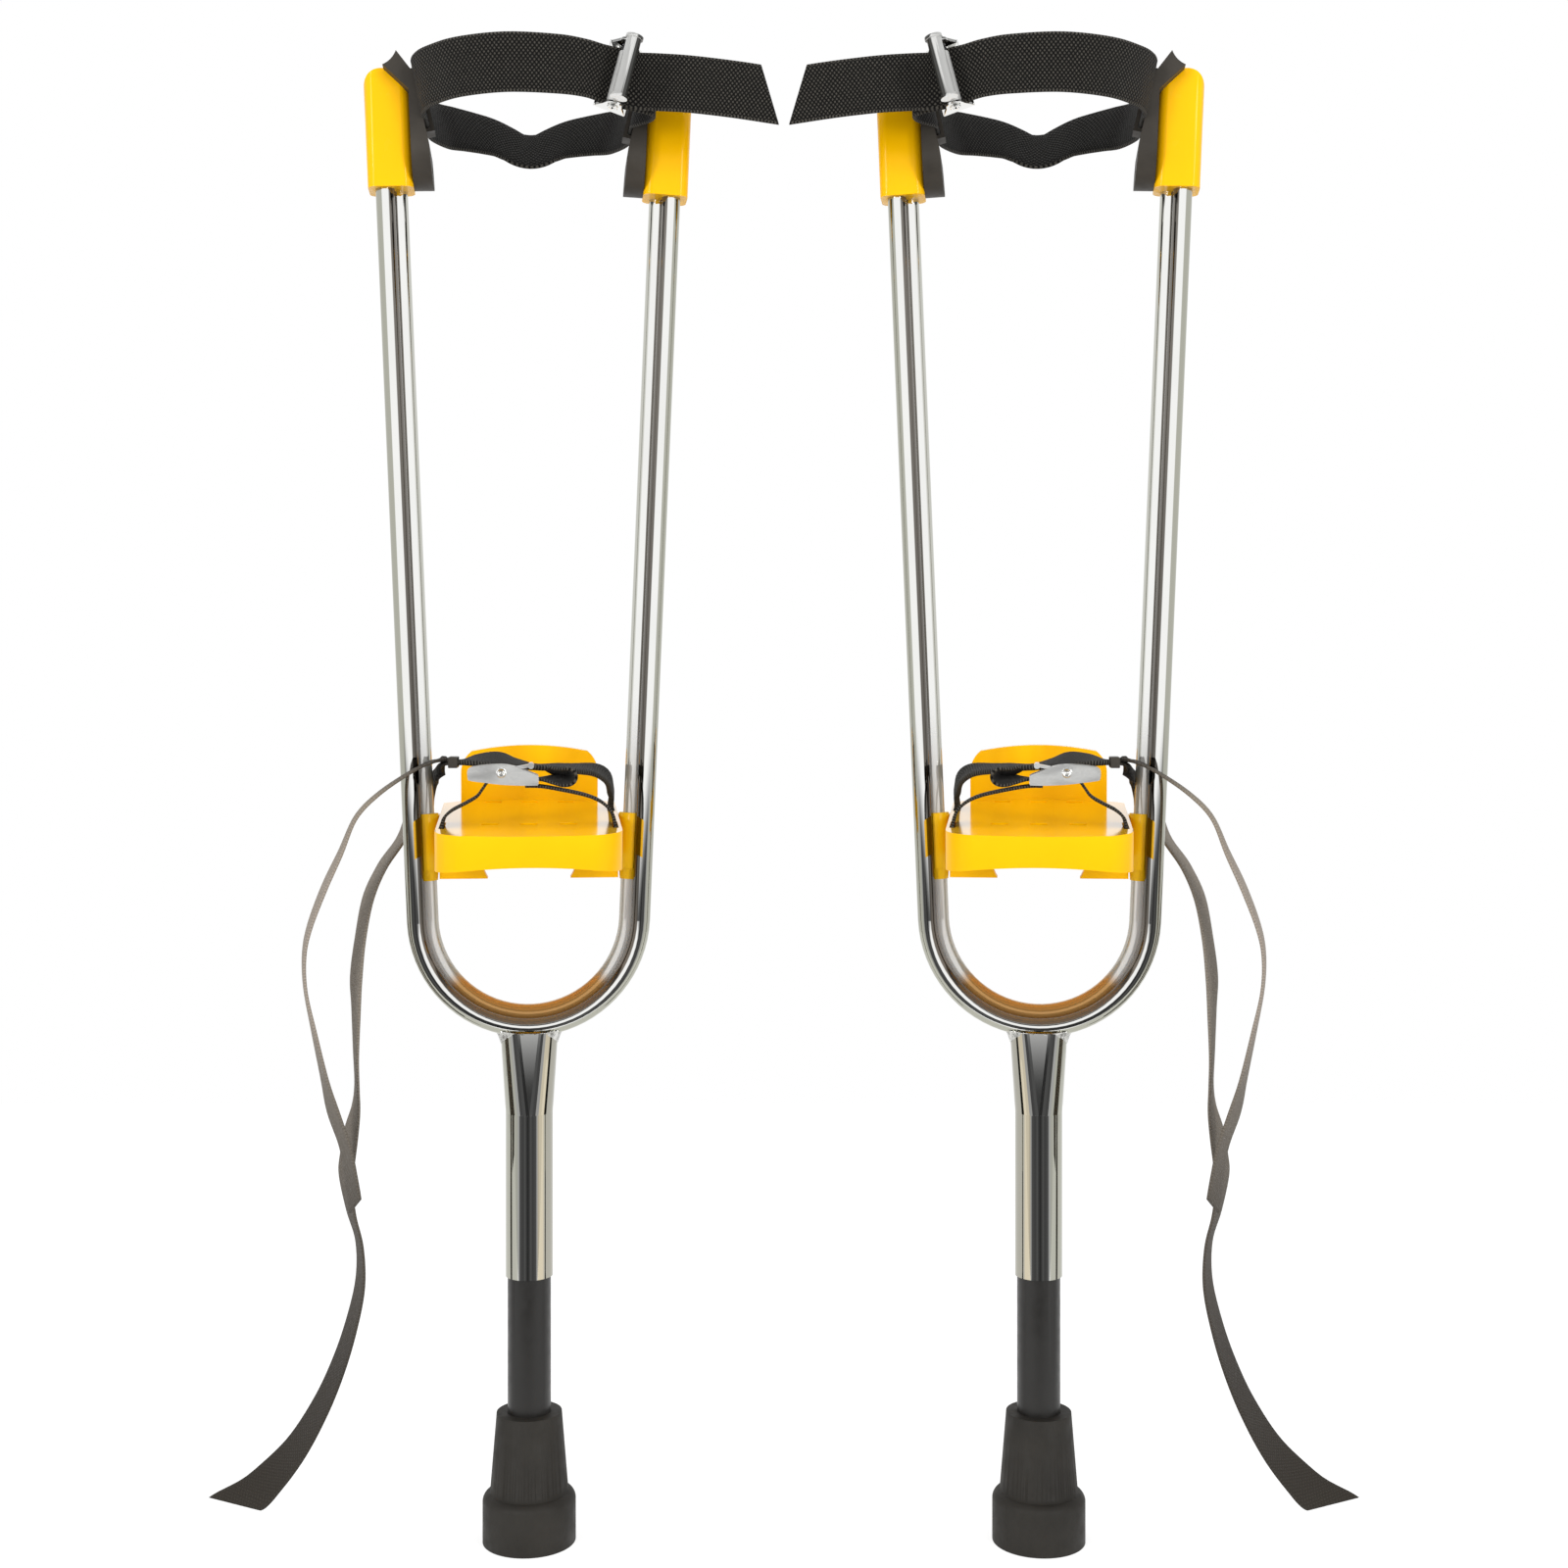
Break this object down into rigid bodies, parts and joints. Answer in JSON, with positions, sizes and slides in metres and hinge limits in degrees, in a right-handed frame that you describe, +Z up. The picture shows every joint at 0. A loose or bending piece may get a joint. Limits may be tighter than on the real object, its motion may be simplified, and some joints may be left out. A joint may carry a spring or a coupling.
{
  "type": "pair of peg stilts",
  "caption": "Pair of strap-on peg stilts: bent twin-tube legs on a sprung peg with a rubber tip, a footplate with heel cup, and buckled straps for toes and knee.",
  "frame": {"origin": "on the floor, midway between the two pegs, at the middle of the pair's depth", "axes": "+Z up along the pegs, -Y towards the toes, +X from the left stilt as seen from the front to the right one"},
  "size_m": [0.6112, 0.1513, 0.7949],
  "materials": {
    "chromed_tube": "bright chrome plating",
    "plain_steel": "plain turned steel",
    "spring_steel": "oiled spring wire",
    "black_painted_steel": "black satin paint",
    "black_rubber": "moulded, matt",
    "yellow_plastic": "moulded, glossy",
    "amber_plastic": "moulded, glossy",
    "black_pad": "soft moulded, matt",
    "black_webbing": "woven twill webbing",
    "buckle_steel": "bright zinc plating",
    "screw_steel": "bright zinc plating"
  },
  "bodies": {
    "left_stilt": {"left_outer_frame_tube": "chromed_tube", "left_inner_frame_tube": "chromed_tube", "left_leg_sleeve": "chromed_tube", "left_spring_seat": "plain_steel", "left_stop_bolt": "plain_steel", "left_peg_spring": "spring_steel", "left_outside_cap": "yellow_plastic", "left_inside_cap": "yellow_plastic", "left_outside_pad": "black_pad", "left_inside_pad": "black_pad", "left_pad_screws": "screw_steel", "left_footplate": "yellow_plastic", "left_plate_clips": "amber_plastic", "left_clip_screws": "screw_steel", "left_knee_strap": "black_webbing", "left_knee_buckle_frame": "buckle_steel", "left_knee_buckle_pin": "buckle_steel", "left_toe_strap": "black_webbing", "left_toe_buckle_frame": "buckle_steel", "left_toe_buckle_pin": "buckle_steel", "left_buckle_springs": "spring_steel", "left_instep_strap": "black_webbing", "left_strap_keeper": "black_pad", "left_front_strap_tail": "black_webbing", "left_rear_strap_tail": "black_webbing"},
    "left_peg": {"left_peg_tube": "black_painted_steel", "left_peg_plug": "plain_steel", "left_rubber_tip": "black_rubber"},
    "left_knee_lever": {"left_knee_buckle_lever": "buckle_steel"},
    "left_toe_lever": {"left_toe_buckle_lever": "buckle_steel"},
    "right_stilt": {"right_outer_frame_tube": "chromed_tube", "right_inner_frame_tube": "chromed_tube", "right_leg_sleeve": "chromed_tube", "right_spring_seat": "plain_steel", "right_stop_bolt": "plain_steel", "right_peg_spring": "spring_steel", "right_outside_cap": "yellow_plastic", "right_inside_cap": "yellow_plastic", "right_outside_pad": "black_pad", "right_inside_pad": "black_pad", "right_pad_screws": "screw_steel", "right_footplate": "yellow_plastic", "right_plate_clips": "amber_plastic", "right_clip_screws": "screw_steel", "right_knee_strap": "black_webbing", "right_knee_buckle_frame": "buckle_steel", "right_knee_buckle_pin": "buckle_steel", "right_toe_strap": "black_webbing", "right_toe_buckle_frame": "buckle_steel", "right_toe_buckle_pin": "buckle_steel", "right_buckle_springs": "spring_steel", "right_instep_strap": "black_webbing", "right_strap_keeper": "black_pad", "right_front_strap_tail": "black_webbing", "right_rear_strap_tail": "black_webbing"},
    "right_peg": {"right_peg_tube": "black_painted_steel", "right_peg_plug": "plain_steel", "right_rubber_tip": "black_rubber"},
    "right_knee_lever": {"right_knee_buckle_lever": "buckle_steel"},
    "right_toe_lever": {"right_toe_buckle_lever": "buckle_steel"}
  },
  "joints": [
    {"name": "left_peg_travel", "type": "slide", "parent": "left_stilt", "child": "left_peg", "axis": [0, 0, 1], "range_m": [0, 0.045], "stiffness_N_per_m": 10800, "springref_m": -0.005, "deforming": ["left_peg_spring"]},
    {"name": "left_knee_lever_lift", "type": "hinge", "parent": "left_stilt", "child": "left_knee_lever", "pos_m": [-0.08328, -0.05778, 0.7736], "axis": [0.2447, 0.0843, 0.9659], "range_deg": [0, 55], "stiffness_Nm_per_rad": 0.05, "springref_deg": -28.65},
    {"name": "left_toe_lever_lift", "type": "hinge", "parent": "left_stilt", "child": "left_toe_lever", "pos_m": [-0.14755, -0.03669, 0.4154], "axis": [0.1219, -0.9925, 0], "range_deg": [0, 60], "stiffness_Nm_per_rad": 0.02, "springref_deg": -28.65},
    {"name": "right_peg_travel", "type": "slide", "parent": "right_stilt", "child": "right_peg", "axis": [0, 0, 1], "range_m": [0, 0.045], "stiffness_N_per_m": 10800, "springref_m": -0.005, "deforming": ["right_peg_spring"]},
    {"name": "right_knee_lever_lift", "type": "hinge", "parent": "right_stilt", "child": "right_knee_lever", "pos_m": [0.08328, -0.05778, 0.7736], "axis": [0.2447, -0.0843, -0.9659], "range_deg": [0, 55], "stiffness_Nm_per_rad": 0.05, "springref_deg": -28.65},
    {"name": "right_toe_lever_lift", "type": "hinge", "parent": "right_stilt", "child": "right_toe_lever", "pos_m": [0.14755, -0.03669, 0.4154], "axis": [0.1219, 0.9925, 0], "range_deg": [0, 60], "stiffness_Nm_per_rad": 0.02, "springref_deg": -28.65},
    {"name": "right_stilt_lift", "type": "slide", "parent": "left_stilt", "child": "right_stilt", "axis": [0, 0, 1], "range_m": [0, 0.15]}
  ]
}
